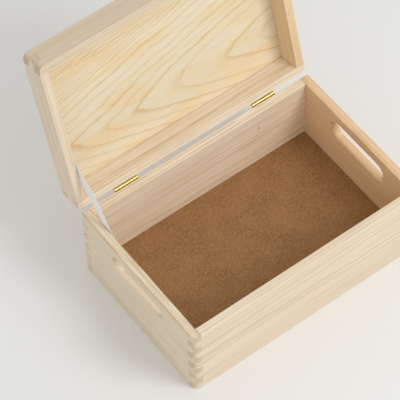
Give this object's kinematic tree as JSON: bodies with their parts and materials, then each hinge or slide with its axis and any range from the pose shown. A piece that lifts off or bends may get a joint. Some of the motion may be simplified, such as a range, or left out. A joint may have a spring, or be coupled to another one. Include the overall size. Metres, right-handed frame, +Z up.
{
  "type": "wooden toy box",
  "caption": "Rectangular finger-jointed pine toy box with a hinged shallow lid held open by a tape stay, oblong handle slots in both ends and a hardboard bottom.",
  "frame": {"origin": "on the ground, under the middle of the space that the box takes up with its lid open; the box itself has its middle 42.3 mm in front of it", "axes": "+X to the right along the box's long side, +Y to the back, where the hinges are, +Z up"},
  "size_m": [0.3, 0.2804, 0.2934],
  "materials": {
    "pine": "unfinished pale pine, planed and sanded, straight faint grain",
    "pine_panel": "unfinished pale pine veneer with broad arched grain",
    "hardboard": "brown hardboard, matt, finely speckled",
    "brass": "bright plated brass",
    "tape": "white woven tape"
  },
  "bodies": {
    "box": {"front_wall": "pine", "back_wall": "pine", "left_wall": "pine", "right_wall": "pine", "bottom_panel": "hardboard", "left_hinge_box_leaf": "brass", "left_hinge_pin": "brass", "left_hinge_box_screw_1": "brass", "left_hinge_box_screw_2": "brass", "right_hinge_box_leaf": "brass", "right_hinge_pin": "brass", "right_hinge_box_screw_1": "brass", "right_hinge_box_screw_2": "brass", "stay_box_washer": "brass", "stay_box_screw": "brass", "lid_stay_strap": "tape"},
    "lid": {"lid_front_wall": "pine", "lid_back_wall": "pine", "lid_left_wall": "pine", "lid_right_wall": "pine", "lid_panel": "pine_panel", "left_hinge_lid_leaf": "brass", "left_hinge_lid_screw_1": "brass", "left_hinge_lid_screw_2": "brass", "right_hinge_lid_leaf": "brass", "right_hinge_lid_screw_1": "brass", "right_hinge_lid_screw_2": "brass", "stay_lid_washer": "brass", "stay_lid_screw": "brass"}
  },
  "joints": [
    {"name": "lid_hinge", "type": "hinge", "parent": "box", "child": "lid", "pos_m": [0, 0.05796, 0.10215], "axis": [1, 0, 0], "range_deg": [0, 105], "deforming": ["lid_stay_strap"]}
  ]
}
